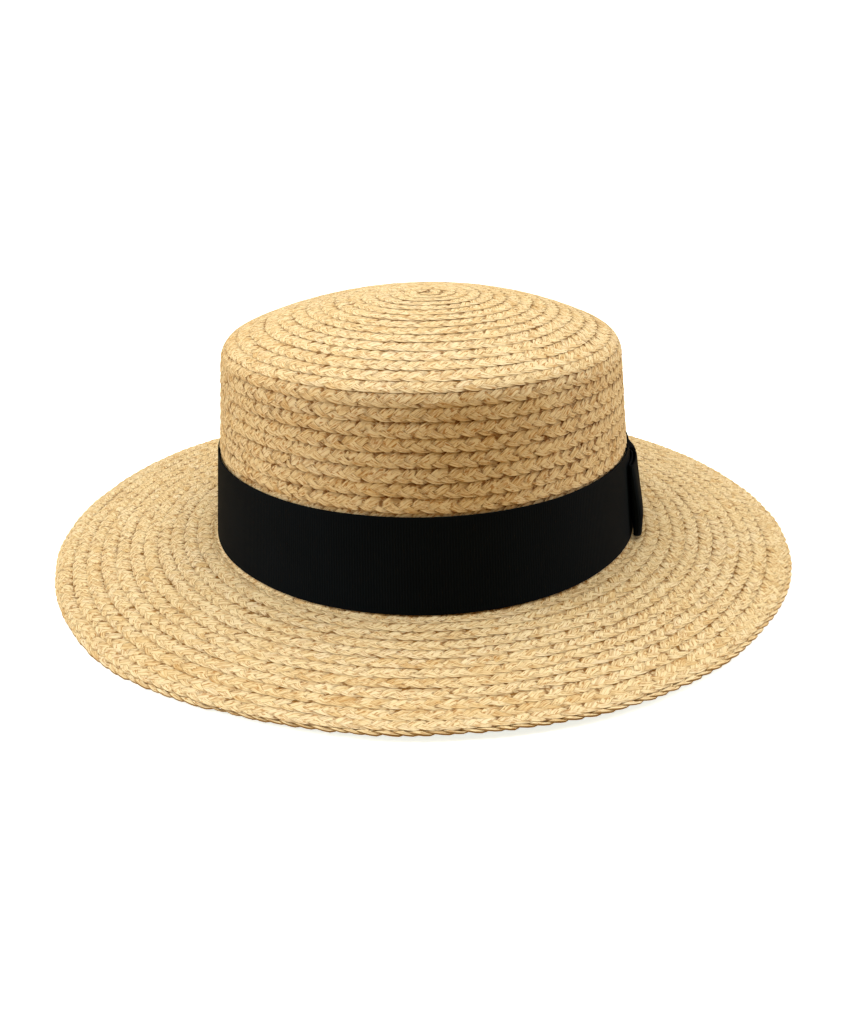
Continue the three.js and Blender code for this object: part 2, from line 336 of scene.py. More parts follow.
# Bends values over so that they stay within a limit
def softLimit(values, limit):
    size = np.abs(values)
    over = np.maximum(0, size - limit * 0.7)
    room = limit * 0.3
    return np.sign(values) * (np.minimum(size, limit * 0.7) + room * over / (room + over))


# Steps along a length, one for each ring of the plait, in whole waves
def plaitSteps(length):
    waves = round(length / plait["wave"])
    return np.linspace(0, length, waves * plait["ringsPerWave"] + 1)


# The coil of braid: its first and last row, degrees where it starts, and radians from point to point
coil = {"firstRow": 0.32, "endRow": 41.16, "startAngle": 250.0, "angleStep": 0.008}


# Row, angle and length so far at each ring of the plait. The last round stays on the last row.
def coilLine():
    firstRow, endRow = coil["firstRow"], coil["endRow"]
    startAngle = math.radians(coil["startAngle"])
    angle = startAngle + np.arange(0, (endRow - firstRow + 1) * 2 * math.pi, coil["angleStep"])
    row = np.minimum(firstRow + (angle - startAngle) / (2 * math.pi), endRow)
    length = runLength(strawPoint(row, angle))
    along = plaitSteps(length[-1])
    return np.interp(along, length, row), np.interp(along, length, angle), along


# 1 on the crown's upright side, 0 on the tip and the brim
def uprightShare(row):
    return smoothStep(edgeRow + 0.5, sideRow, row) * smoothStep(rootRow, rootRow - 0.6, row)


# Between a value for the flat tip and brim and one for the upright side
def byFacing(flat, side, upright):
    return flat + (side - flat) * upright


# Lays a strip's corners on the hat: each local point is along the row, across it and off the straw
def onStraw(row, angle, local, lift, lean):
    p = plait
    upright = uprightShare(row)[:, None]
    onBrim = smoothStep(rootRow - 0.6, rootRow, row)[:, None]
    slope = byFacing(p["shingle"], p["sideShingle"], upright) + (p["brimShingle"] - p["shingle"]) * onBrim
    slope = slope * np.reshape(lean, (-1, 1))
    crown = byFacing(p["crown"], p["sideCrown"], upright)
    relief = byFacing(p["flatRelief"], 1, upright)
    # mm from this row to the next, and mm round the hat for one radian
    pitch = np.linalg.norm(strawStep(row, angle, 0.4, 0), axis=1) / 0.8
    perRadian = np.linalg.norm(strawStep(row, angle, 0, 0.02), axis=1) / 0.04
    across = local[..., 1] * np.clip(pitch / p["rowPitch"], *p["pitchRange"])[:, None]
    ownRow = row[:, None] + across / pitch[:, None]
    ownAngle = angle[:, None] + local[..., 0] / perRadian[:, None]
    place = strawPoint(ownRow, ownAngle)
    tucked = smoothStep(*p["tuckHeights"], place[..., 2]) * (ownRow < rootRow + 0.5)
    off = local[..., 2] * relief + across * slope - crown * local[..., 1] ** 2
    off = off + lift + tucked * p["tuckLift"]
    outwards = unit(np.cross(strawStep(ownRow, ownAngle, 0.05, 0), strawStep(ownRow, ownAngle, 0, 0.01)))
    return place + outwards * off[..., None]


# A strand's rings along the plait, from the one wave. The three strands are a third of a wave apart.
def strandRings(shape, strand, count):
    perWave = plait["ringsPerWave"]
    return shape[(np.arange(count) + strand * perWave // 3) % perWave]


# Painted shade: what is left of the straw's colour where a strand lies deep, on the flat parts and on the
# upright side
strandShade = {
    "covered": (0.52, 0.36),         # along the edge that the next row towards the tip covers
    "coveredAcross": (-3.2, -2.3),   # mm across the plait, where that is full and where it ends
    "dived": (0.46, 0.20),           # where it passes the plait's middle on its way under the next strand
    "divedOff": (0.13, -0.04),       # mm off the middle, where that starts and where it would be full
}


# The three strands along a coil line. Gives their points, the tone of each and its painted shade, darker
# where it lies deep.
# Each softNoise has the number of rings from one change to the next, in stitches or waves of the plait.
def layPlait(shape, row, angle, random, lift, lean):
    p = plait
    count = len(row)
    perWave = p["ringsPerWave"]
    stitch = perWave / 3
    wander = softNoise(random, count, perWave * 1.7) + 0.35 * softNoise(random, count, stitch)
    wander = p["rowWander"] * wander
    fat = 1 + p["fatChange"] * softNoise(random, count, perWave * 1.3)
    upright = uprightShare(row)
    covered = byFacing(*strandShade["covered"], upright)[:, None]
    dived = byFacing(*strandShade["dived"], upright)[:, None]
    uneven = byFacing(p["shingleChange"], p["sideShingleChange"], upright)
    lean = lean * (1 + uneven * np.clip(softNoise(random, count, stitch * 1.1), -1, 1.5))
    points = np.zeros((3, count, 8, 3))
    tone = np.zeros((3, count, 8))
    shade = np.zeros((3, count, 8))
    for strand in range(3):
        local = strandRings(shape, strand, count)
        middle = local.mean(axis=1, keepdims=True)
        width = 1 + p["widthChange"] * softNoise(random, count, stitch * 0.9)
        section = (local - middle) * width[:, None, None]
        turned = p["turnChange"] * softNoise(random, count, stitch * 0.8)
        section[..., 2] += section[..., 1] * turned[:, None]
        middle[:, 0, 0] += p["stitchChange"] * softNoise(random, count, stitch * 1.5)
        middle[:, 0, 1] += p["swayChange"] * softNoise(random, count, stitch * 0.8)
        middle[:, 0, 2] += p["riseChange"] * softNoise(random, count, stitch * 0.8)
        local = (section + middle) * fat[:, None, None]
        local[..., 1] = softLimit(local[..., 1], p["edge"])
        local[..., 1] *= np.where(local[..., 1] < 0, *p["halves"])
        local[..., 1] += p["middle"]
        height = np.abs(local[..., 2])
        shown = smoothStep(*strandShade["coveredAcross"], local[..., 1])
        local[..., 1] += wander[:, None]
        points[strand] = onStraw(row, angle, local, lift, lean)
        ownTone = p["toneChange"][0] * softNoise(random, count, stitch * 1.6)
        ownTone = ownTone + p["toneChange"][1] * softNoise(random, count, perWave * 6)
        tone[strand] = 0.5 + ownTone[:, None]
        # painted shade, darker where a strand dives under the next and along its edge that the next row
        # covers
        diving = smoothStep(*strandShade["divedOff"], height) * (1 - dived)
        shade[strand] = (1 - diving) * (covered + (1 - covered) * shown)
    return points, tone, shade


# The halves of the strips that stay inside the plait, seen wherever the strands part. Its top is painted
# dark as shade seen through the gaps.
core = {
    # mm across the plait and off it, from the outer edge in
    "section": [(3.2, -0.5), (2.2, -0.35), (1.7, -0.02), (0.2, -0.02), (-1.3, -0.02), (-2.8, -0.02)],
    "thick": 0.05,
    "every": 4,             # rings of the plait to one of the core
    "lastRows": 1.9,        # at the brim's edge, where it is flatter and narrower
    "lastOff": -0.15, "lastAcross": 1.7,
    "pressed": 0.18,        # mm lower where the ribbon's edge presses the straw in
    "pressedFrom": (32, 36), "pressedTo": (48, 44),   # mm above the table
    # painted shade: dark above, less so on the flat parts and least where crown and brim meet, and straw
    # inside the hat
    "tone": 0.55, "flatShade": 0.35, "rootShade": 0.8, "insideShade": 0.85,
    "rootRows": (1.2, 0.7),
}


def layCore(row, angle):
    c = core
    above = np.array([(0, across, off) for across, off in c["section"]])
    below = above[::-1] - (0, 0, c["thick"])
    local = np.repeat(np.concatenate([above, below])[::-1][None], len(row), axis=0)
    last = (row > lastRow - c["lastRows"])[:, None]
    local[..., 2] = np.where(last, np.maximum(local[..., 2], c["lastOff"]), local[..., 2])
    local[..., 1] = np.where(last, np.minimum(local[..., 1], c["lastAcross"]), local[..., 1])
    height = strawPoint(row, angle)[:, 2]
    pressed = smoothStep(*c["pressedFrom"], height) * smoothStep(*c["pressedTo"], height) * (row < rootRow)
    local[..., 2] -= c["pressed"] * pressed[:, None]
    points = onStraw(row, angle, local, plait["lift"], 1)[None]
    # painted shade on the core, from the values above
    flat = c["flatShade"] * (1 - uprightShare(row))
    atRoot = c["rootShade"] * smoothStep(*c["rootRows"], np.abs(row - rootRow))
    shade = np.zeros(points.shape[:3]) + np.maximum(flat, atRoot)[:, None]
    shade[..., :len(below)] = c["insideShade"]
    return points, np.full(points.shape[:3], c["tone"]), shade


# The end of the braid that the coil starts from: a short straight length tucked under the tip's middle
tuckedEnd = {"heading": 20.0, "lift": -0.85, "tone": 0.5, "shade": 0.6}   # degrees, mm and shares


def layStart(shape):
    count = plait["ringsPerWave"] + 1
    along = np.linspace(0, plait["wave"], count)
    points = np.zeros((3, count, 8, 3))
    heading = math.radians(tuckedEnd["heading"])
    for strand in range(3):
        local = strandRings(shape, strand, count)
        local[..., 0] += along[:, None] - plait["wave"] / 2
        points[strand, ..., 0] = local[..., 0] * math.cos(heading) - local[..., 1] * math.sin(heading)
        points[strand, ..., 1] = local[..., 0] * math.sin(heading) + local[..., 1] * math.cos(heading)
        points[strand, ..., 2] = local[..., 2]
    points += strawPoint(0, 0) + (0, 0, tuckedEnd["lift"])
    tone = np.full(points.shape[:3], tuckedEnd["tone"])
    # an even painted shade along the tucked end, which lies under the tip's middle
    shade = np.full(points.shape[:3], tuckedEnd["shade"])
    return points, tone, shade, along


# Joins rings of points into closed tubes: the corners of their faces, with u along a strand in metres and
# v once round it, strands side by side, and the number of corners in each face
def joinRings(points, along):
    strands, count, corners = points.shape[:3]
    index = np.arange(strands * count * corners).reshape(strands, count, corners)
    nextCorner = np.roll(index, -1, axis=2)
    sides = [index[:, :-1], nextCorner[:, :-1], nextCorner[:, 1:], index[:, 1:]]
    quads = np.stack(sides, -1).reshape(-1, 4)
    caps = np.concatenate([index[:, 0, ::-1], index[:, -1]])
    loops = np.concatenate([quads.ravel(), caps.ravel()])
    u = np.broadcast_to((along * mm)[None, :, None], index.shape).ravel()[loops]
    v = np.arange(strands)[:, None, None] * 1.5 + np.arange(corners) / corners
    v = np.broadcast_to(v, index.shape).ravel()[loops]
    # the last side of a ring ends at 1, not back at 0
    quadV = v[:quads.size].reshape(-1, 4)
    quadV[quadV < quadV.max(axis=1, keepdims=True) - 0.5] += 1
    return loops, np.stack([u, v], -1), [4] * len(quads) + [corners] * len(caps)


def makeBraid(name, groups, material):
    vertices, loops, uvs, faceSizes, tones, shades = [], [], [], [], [], []
    first = 0
    for points, tone, shade, along in groups:
        ownLoops, ownUvs, ownSizes = joinRings(points, along)
        vertices.append(points.reshape(-1, 3))
        loops.append(first + ownLoops)
        uvs.append(ownUvs)
        faceSizes += ownSizes
        tones.append(tone.ravel())
        shades.append(shade.ravel())
        first += tone.size
    vertices, loops, uvs = np.concatenate(vertices), np.concatenate(loops), np.concatenate(uvs)
    mesh = bpy.data.meshes.new(name)
    mesh.vertices.add(len(vertices))
    mesh.vertices.foreach_set("co", (vertices * mm).astype(np.float32).ravel())
    mesh.loops.add(len(loops))
    mesh.loops.foreach_set("vertex_index", loops.astype(np.int32))
    mesh.polygons.add(len(faceSizes))
    mesh.polygons.foreach_set("loop_start", (np.cumsum(faceSizes) - faceSizes).astype(np.int32))
    mesh.update(calc_edges=True)
    strandMap = mesh.uv_layers.new(name="strandMap")
    strandMap.data.foreach_set("uv", uvs.astype(np.float32).ravel())
    for label, values in (("tone", tones), ("shade", shades)):
        attribute = mesh.attributes.new(label, "FLOAT", "POINT")
        attribute.data.foreach_set("value", np.concatenate(values).astype(np.float32))
    mesh.validate()
    mesh.materials.append(material)
    obj = bpy.data.objects.new(name, mesh)
    bpy.context.scene.collection.objects.link(obj)
    pick(obj)
    bpy.ops.object.shade_smooth_by_angle(angle=math.radians(14))
    return obj


# Natural raffia: strips of palm leaf, dried, split and left undyed. Dull with a faint waxy sheen, fine
# lengthwise fibres and cracks, cream to tan with the odd reddish strip.
# Painted shade darkens it to brown where strips dive under, along their folded edges and creases, and in
# pits between them.
straw = {
    "pale": "#E6D8B4", "straw": "#E2D0A3", "tan": "#CBAA73", "red": "#B97E4A",
    # the colours on the next line are for cracks and flecks and for painted shade: along creases, along
    # folded edges, and where strips dive under
    "crackAndCreaseShade": "#A5702E", "edge": "#8C6120", "shadeBrown": "#6A4006",
    "crackAndCreaseShadeAmount": 0.5, "fleckAmount": 0.8, "pitShadeAmount": 0.75, "edgeShadeAmount": 0.75,
    "roughness": 0.6, "waxiness": 0.1, "fibreBump": 0.28,
}
softEdge = {"interpolation_type": "SMOOTHSTEP"}


# Along each strip: its fibres, its cracks and the painted shade in the crease in its middle, the painted
# shade along its folded edges, and its flecks
def stripMarks(tree):
    uv = addNode(tree, "UVMap", {"uv_map": "strandMap"})
    onStrip = {"Vector": uv.outputs["UV"]}
    flat = {"noise_dimensions": "2D"}
    # fibres about 0.3 mm wide and 8 mm long
    stretch = addNode(tree, "Mapping", values={"Scale": (125, 20, 1)}, links=onStrip)
    fibres = addNode(tree, "TexNoise", flat, {"Scale": 1.0, "Detail": 3.0, "Roughness": 0.55},
                     {"Vector": stretch.outputs["Vector"]})
    # splits 0.1 mm wide every millimetre or so, on the contour lines of a broader noise
    broad = addNode(tree, "Mapping", values={"Scale": (70, 9, 1)}, links=onStrip)
    splits = addNode(tree, "TexNoise", flat, {"Scale": 1.0, "Detail": 2.0},
                     {"Vector": broad.outputs["Vector"]})
    contour = addNode(tree, "Math", {"operation": "PINGPONG"}, {1: 0.5}, {0: splits.outputs["Fac"]})
    split = addNode(tree, "MapRange", softEdge,
                    {"From Min": 0.45, "From Max": 0.495, "To Max": straw["crackAndCreaseShadeAmount"]},
                    {"Value": contour.outputs[0]})
    # once round a strip is 1: how far a point is from the strip's edges, 0.25 at the crease in its middle
    apart = addNode(tree, "SeparateXYZ", links=onStrip)
    fromEdge = addNode(tree, "Math", {"operation": "PINGPONG"}, {1: 0.25}, {0: apart.outputs["Y"]})
    # painted shade along the crease in the strip's middle, broken up by the fibres
    middle = addNode(tree, "MapRange", softEdge,
                     {"From Min": 0.225, "From Max": 0.245, "To Max": straw["crackAndCreaseShadeAmount"]},
                     {"Value": fromEdge.outputs[0]})
    patchy = addNode(tree, "MapRange", softEdge, {"From Min": 0.35, "From Max": 0.6},
                     {"Value": fibres.outputs["Fac"]})
    crease = addNode(tree, "Math", {"operation": "MULTIPLY"},
                     links={0: middle.outputs["Result"], 1: patchy.outputs["Result"]})
    crackAndCreaseShade = addNode(tree, "Math", {"operation": "MAXIMUM"},
                    links={0: crease.outputs[0], 1: split.outputs["Result"]})
    # painted shade along the strip's folded edges
    edgeShade = addNode(tree, "MapRange", softEdge,
                     {"From Min": 0.12, "From Max": 0.03, "To Max": straw["edgeShadeAmount"]},
                     {"Value": fromEdge.outputs[0]})
    # brown flecks along the strips, about two millimetres long
    small = addNode(tree, "Mapping", values={"Scale": (480, 17, 1)}, links=onStrip)
    specks = addNode(tree, "TexNoise", flat, {"Scale": 1.0, "Detail": 1.0},
                     {"Vector": small.outputs["Vector"]})
    fleck = addNode(tree, "MapRange", softEdge,
                    {"From Min": 0.58, "From Max": 0.70, "To Max": straw["fleckAmount"]},
                    {"Value": specks.outputs["Fac"]})
    return fibres.outputs["Fac"], crackAndCreaseShade.outputs[0], edgeShade.outputs["Result"], fleck.outputs["Result"]


# From cream to tan and red by the strip's own tone, with blotches a few centimetres wide, from one bundle
# of leaf to the next
def leafColour(tree, fibres, place):
    tone = addNode(tree, "Attribute", {"attribute_name": "tone"})
    blotches = addNode(tree, "TexNoise", values={"Scale": 28.0, "Detail": 2.0}, links={"Vector": place})
    strandTone = addNode(tree, "Math", {"operation": "MULTIPLY_ADD"}, {1: 0.7},
                         {0: fibres, 2: tone.outputs["Fac"]})
    leafTone = addNode(tree, "Math", {"operation": "MULTIPLY_ADD"}, {1: 0.3},
                       {0: blotches.outputs["Fac"], 2: strandTone.outputs[0]})
    inRamp = addNode(tree, "Math", {"operation": "SUBTRACT"}, {1: 0.55}, {0: leafTone.outputs[0]})
    ramp = addNode(tree, "ValToRGB", links={"Fac": inRamp.outputs[0]})
    stops = [(0.15, straw["pale"]), (0.5, straw["straw"]), (0.8, straw["tan"]), (0.97, straw["red"])]
    while len(ramp.color_ramp.elements) < len(stops):
        ramp.color_ramp.elements.new(0.5)
    for element, (position, colour) in zip(ramp.color_ramp.elements, stops):
        element.position = position
        element.color = linearColour(colour)
    return ramp.outputs["Color"]


# Painted shade: dark pits of half a millimetre, only where one strip dives under the next
def paintedPitShade(tree, shade, place):
    dots = addNode(tree, "TexNoise", values={"Scale": 620.0, "Detail": 0.0}, links={"Vector": place})
    dot = addNode(tree, "MapRange", softEdge,
                  {"From Min": 0.58, "From Max": 0.67, "To Max": straw["pitShadeAmount"]},
                  {"Value": dots.outputs["Fac"]})
    low = addNode(tree, "MapRange", values={"From Min": 0.95, "From Max": 0.7}, links={"Value": shade})
    pit = addNode(tree, "Math", {"operation": "MULTIPLY"},
                  links={0: dot.outputs["Result"], 1: low.outputs["Result"]})
    return pit.outputs[0]


def makeRaffia():
    material, tree = newMaterial("naturalRaffiaPlait")
    place = addNode(tree, "TexCoord").outputs["Object"]
    shade = addNode(tree, "Attribute", {"attribute_name": "shade"}).outputs["Fac"]
    fibres, crackAndCreaseShade, edgeShade, fleck = stripMarks(tree)
    marks = addNode(tree, "Math", {"operation": "MAXIMUM"}, links={0: crackAndCreaseShade, 1: fleck})
    # each layer lies over the last: what shows of it, and its colour. The first holds the cracks and flecks
    # and the crease's painted shade; the edges and pits are painted shade.
    layers = [(marks.outputs[0], "crackAndCreaseShade"), (edgeShade, "edge"), (paintedPitShade(tree, shade, place), "shadeBrown")]
    colour = leafColour(tree, fibres, place)
    for shown, name in layers:
        layer = addNode(tree, "MixRGB", values={"Color2": linearColour(straw[name])},
                        links={"Fac": shown, "Color1": colour})
        colour = layer.outputs["Color"]
    # painted shade: the colour goes over to the shade brown where the shade attribute is low
    dark = addNode(tree, "MixRGB", values={"Color1": linearColour(straw["shadeBrown"])},
                   links={"Fac": shade, "Color2": colour})
    relief = addNode(tree, "Math", {"operation": "SUBTRACT"}, links={0: fibres, 1: crackAndCreaseShade})
    bump = addNode(tree, "Bump", values={"Strength": straw["fibreBump"], "Distance": 0.0004},
                   links={"Height": relief.outputs[0]})
    shader = addNode(tree, "BsdfPrincipled",
                     values={"Roughness": straw["roughness"], "IOR": 1.45,
                             "Specular IOR Level": straw["waxiness"]},
                     links={"Base Color": dark.outputs["Color"], "Normal": bump.outputs["Normal"]})
    addNode(tree, "OutputMaterial", links={"Surface": shader.outputs["BSDF"]})
    return material


raffia = makeRaffia()


def finishBraid(name, groups, node):
    braid = makeBraid(name, groups, raffia)
    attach(braid, "root")
    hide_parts(node)
    print(name, sum(len(face.vertices) - 2 for face in braid.data.polygons), "triangles")


# The coil is one length of braid from the middle of the tip to the edge of the brim, cut into pieces. Each
# has a name, its first and last row, and the CAD part that it stands for.
bandRow = sideRow + 7.1    # at the ribbon's upper edge
outerRow = rootRow + 6.8
cuts = [
    ("crownTipBraid", 0, sideRow, "crown"),
    ("crownSideBraid", sideRow, bandRow, "crown"),
    ("crownBandBraid", bandRow, rootRow, "crown"),
    ("brimInnerBraid", rootRow, outerRow, "brim"),
    ("brimOuterBraid", outerRow, lastRow, "brim"),
]


def makeCoil(shape, random):
    row, angle, along = coilLine()
    points, tone, shade = layPlait(shape, row, angle, random, plait["lift"], 1)
    every = core["every"]
    inside, insideTone, insideShade = layCore(row[::every], angle[::every])
    print("plait laid,", round(along[-1] / 1000, 1), "m,", points.size // 3, "points")
    for name, start, end, node in cuts:
        first = int(np.searchsorted(row, start)) // every * every
        last = min(int(np.searchsorted(row, end)) // every * every + 1, len(row))
        part = slice(first, last)
        fewer = slice(first // every, (last - 1) // every + 1)
        groups = [(points[:, part], tone[:, part], shade[:, part], along[part]),
                  (inside[:, fewer], insideTone[:, fewer], insideShade[:, fewer], along[::every][fewer])]
        if start == 0:
            groups.append(layStart(shape))
        finishBraid(name, groups, node)


# The brim's edge is finished with one more round of the same braid, sewn level under the last: its row, mm
# off the straw, degrees where it starts, how many times fuller its strands are, and how dark its painted
# shade may go
edgeRound = {"row": 41.4, "lift": -1.05, "start": 80.0, "fuller": 6.2, "darkest": 0.75}


def makeEdgeRound(shape, random):
    e = edgeRound
    turns = np.arange(0, 2 * math.pi + 1e-6, coil["angleStep"])
    length = runLength(strawPoint(np.full(len(turns), e["row"]), turns))
    along = plaitSteps(length[-1])
    angle = np.interp(along, length, turns) + math.radians(e["start"])
    row = np.full(len(angle), e["row"])
    points, tone, shade = layPlait(shape * (1, 1, e["fuller"]), row, angle, random, e["lift"], 0)
    # its painted shade is kept light
    shade = e["darkest"] + (1 - e["darkest"]) * shade
    finishBraid("brimEdgeBraid", [(points, tone, shade, along)], "brim")


strandShape = modelStrand()
unevenness = np.random.default_rng(plait["seed"])
makeCoil(strandShape, unevenness)
makeEdgeRound(strandShape, unevenness)


# A flat strip of real size that the ribbon, the loops or the knot is shaped from, and its points. Its UV map
# has metres along it and shares of its width across.
def cutRibbon(name, length, width, lengthwise, across):
    bpy.ops.mesh.primitive_grid_add(x_subdivisions=lengthwise, y_subdivisions=across, size=1)
    strip = bpy.context.object
    strip.name = name
    bpy.ops.object.mode_set(mode="EDIT")
    bpy.ops.mesh.select_all(action="SELECT")
    bpy.ops.transform.resize(value=(length * mm, width * mm, 1))
    bpy.ops.object.mode_set(mode="OBJECT")
    weave = strip.data.uv_layers.active
    weave.name = "weaveMap"
    flat = np.array([v.co for v in strip.data.vertices])
    for loop in strip.data.loops:
        place = flat[loop.vertex_index]
        weave.data[loop.index].uv = (place[0] + length * mm / 2, place[1] / (width * mm) + 0.5)
    return strip, flat / mm + (length / 2, width / 2, 0)


def finishRibbon(strip, places, thickness, node):
    for vertex, place in zip(strip.data.vertices, places):
        vertex.co = Vector(place) * mm
    strip.data.update()
    solid = strip.modifiers.new("thickness", "SOLIDIFY")
    solid.thickness = thickness * mm
    solid.offset = 0
    pick(strip)
    bpy.ops.object.modifier_apply(modifier=solid.name)
    bpy.ops.object.shade_smooth_by_angle(angle=math.radians(40))
    strip.data.materials.append(grosgrain)
    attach(strip, "root")
    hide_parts(node)


# Black grosgrain ribbon, woven from rayon over thick cotton weft: dull, near black, with fine upright ribs
# and a smooth edge. The ribs only just show.
ribbon = {
    "low": 7.3, "width": 34.0,    # mm above the table, and how tall
    "off": 0.46,                  # mm, its middle off the straw's oval
    "thick": 0.5,
    "seam": -1.5,                 # degrees, where its ends lap under the bow
    "lap": 9.0, "lapOff": 0.58,   # mm
    "lapFrom": (7.0, 1.5),        # mm before the lap, where it starts to stand off and where it is clear
    "waver": 0.12,                # mm that it stands away from the straw here and there
    "cells": (366, 8),
    "colour": "#080D12", "rib": 0.95, "ribShow": 0.2,   # mm from rib to rib
    "roughness": 0.75, "sheen": 0.03,
}


def makeGrosgrain():
    material, tree = newMaterial("blackGrosgrain")
    uv = addNode(tree, "UVMap", {"uv_map": "weaveMap"})
    apart = addNode(tree, "SeparateXYZ", links={"Vector": uv.outputs["UV"]})
    turn = addNode(tree, "Math", {"operation": "MULTIPLY"}, {1: 2 * math.pi / (ribbon["rib"] * mm)},
                   {0: apart.outputs["X"]})
    ribs = addNode(tree, "Math", {"operation": "SINE"}, links={0: turn.outputs[0]})
    # the outer millimetre on either side is the selvedge, without ribs
    fromEdge = addNode(tree, "Math", {"operation": "PINGPONG"}, {1: 0.5}, {0: apart.outputs["Y"]})
    inside = addNode(tree, "MapRange", values={"From Min": 0.02, "From Max": 0.04},
                     links={"Value": fromEdge.outputs[0]})
    shown = addNode(tree, "Math", {"operation": "MULTIPLY"},
                    links={0: ribs.outputs[0], 1: inside.outputs["Result"]})
    place = addNode(tree, "TexCoord")
    dust = addNode(tree, "TexNoise", values={"Scale": 60.0, "Detail": 4.0},
                   links={"Vector": place.outputs["Object"]})
    # painted shade: the colour is darker between the ribs and lighter on them
    ribShade = addNode(tree, "MapRange",
                   values={"From Min": -1.0, "From Max": 1.6, "To Min": 0.55, "To Max": 1.35},
                   links={"Value": shown.outputs[0]})
    uneven = addNode(tree, "Math", {"operation": "MULTIPLY_ADD"}, {1: 0.5},
                     {0: dust.outputs["Fac"], 2: ribShade.outputs["Result"]})
    colour = addNode(tree, "VectorMath", {"operation": "SCALE"},
                     {0: linearColour(ribbon["colour"])[:3]}, {"Scale": uneven.outputs[0]})
    bump = addNode(tree, "Bump", values={"Strength": ribbon["ribShow"], "Distance": 0.0002},
                   links={"Height": shown.outputs[0]})
    shader = addNode(tree, "BsdfPrincipled",
                     values={"Roughness": ribbon["roughness"], "Specular IOR Level": ribbon["sheen"]},
                     links={"Base Color": colour.outputs["Vector"], "Normal": bump.outputs["Normal"]})
    addNode(tree, "OutputMaterial", links={"Surface": shader.outputs["BSDF"]})
    return material


grosgrain = makeGrosgrain()


# Off the side at an angle, along its level normal
def besideCrown(angle, height, off):
    halfWidth, halfLength = sideOval(height)
    x, y = halfWidth * np.cos(angle), halfLength * np.sin(angle)
    outward = unit(np.stack([np.cos(angle) / halfWidth, np.sin(angle) / halfLength], -1))
    return np.stack([x + outward[..., 0] * off, y + outward[..., 1] * off, height + 0 * x], -1)


def makeRibbon():
    r = ribbon
    middle = r["low"] + r["width"] / 2
    # a little more than once round the crown, in half degrees: 720 of them are one turn
    angles = math.radians(r["seam"]) + np.radians(np.arange(757) / 2)
    length = runLength(besideCrown(angles, np.full(len(angles), middle), r["off"]))
    once = length[720]
    cut = once + r["lap"]
    strip, flat = cutRibbon("hatRibbon", cut, r["width"], *r["cells"])
    angle = np.interp(flat[:, 0], length, angles)
    turned = angle - math.radians(r["seam"])
    off = r["off"] + r["waver"] * (np.sin(turned * 5) * np.sin(turned * 3) + 0.5 * np.sin(turned * 11))
    off = off + r["lapOff"] * smoothStep(once - r["lapFrom"][0], once - r["lapFrom"][1], flat[:, 0])
    places = besideCrown(angle, r["low"] + flat[:, 1], off)
    finishRibbon(strip, places, r["thick"], "ribbon")
    print("ribbon cut", round(cut, 1), "mm long")


makeRibbon()

# The bow: one ribbon folded into two flat loops whose ends meet at the back, pinched in the middle
bow = {
    "azimuth": -2.0, "halfLength": 41.0, "height": 29.0, "pinchedHeight": 19.0, "lowEdge": 8.0,
    "stand": 1.0,                      # mm off the crown's side, from where the depths below are counted
    "depth": 4.8, "upperDepth": 2.6, "lowerDepth": 4.0,   # mm at the fullest, and at the edges
    "thick": 0.5,
    "clear": 0.3, "room": 0.9,         # mm kept free behind it, and for its own thickness and folds
    "folds": 0.3, "foldCount": 3,      # mm deep, running out from the knot
    "foldReach": (0.62, 0.12),         # shares of half the length, where they end and where they are full
    "upperFrom": 0.33, "lowerFrom": 0.25,   # shares of the height, where it starts to thin to the edges
    "sag": 1.5,                        # mm that the back loop's upper edge hangs
    "endGap": 0.6,                     # mm between the ends, behind the knot
    "cells": (220, 18),
}

# Half of it, from the middle of the back to the middle of the front: shares of half length and of depth,
# and from pinched (0) to full height (1)
loopShape = [
    (0, 0.2, 0), (0.2, 0.2, 0.1), (0.4, 0.1, 0.5), (0.7, 0.02, 0.85),
    (0.93, 0.03, 1), (0.985, 0.2, 1), (1, 0.48, 1), (0.985, 0.8, 1), (0.93, 1, 1),
    (0.7, 0.84, 0.85), (0.4, 0.67, 0.5), (0.2, 0.54, 0.1), (0, 0.5, 0),
]


# Beside the hat's ribbon: a distance along it from the bow's middle, off it, and a height
def besideRibbon(along, off, height):
    halfLength = sideOval(height)[1] + bow["stand"]
    return besideCrown(math.radians(bow["azimuth"]) + along / halfLength, height, bow["stand"] + off)


# A smooth curve through rows of values, with this many steps from one row to the next
def smoothTrack(values, steps):
    values = np.asarray(values, float)
    before = np.vstack([values[:1], values[:-1]])
    after = np.vstack([values[1:], values[-1:]])
    slope = (after - before) / 2
    t = np.linspace(0, 1, steps, endpoint=False)[None, :, None]
    a, b, sa, sb = values[:-1, None], values[1:, None], slope[:-1, None], slope[1:, None]
    curve = (a * (1 + 2 * t) * (1 - t) ** 2 + sa * t * (1 - t) ** 2
             + b * t * t * (3 - 2 * t) + sb * t * t * (t - 1))
    return np.vstack([curve.reshape(-1, values.shape[1]), values[-1:]])


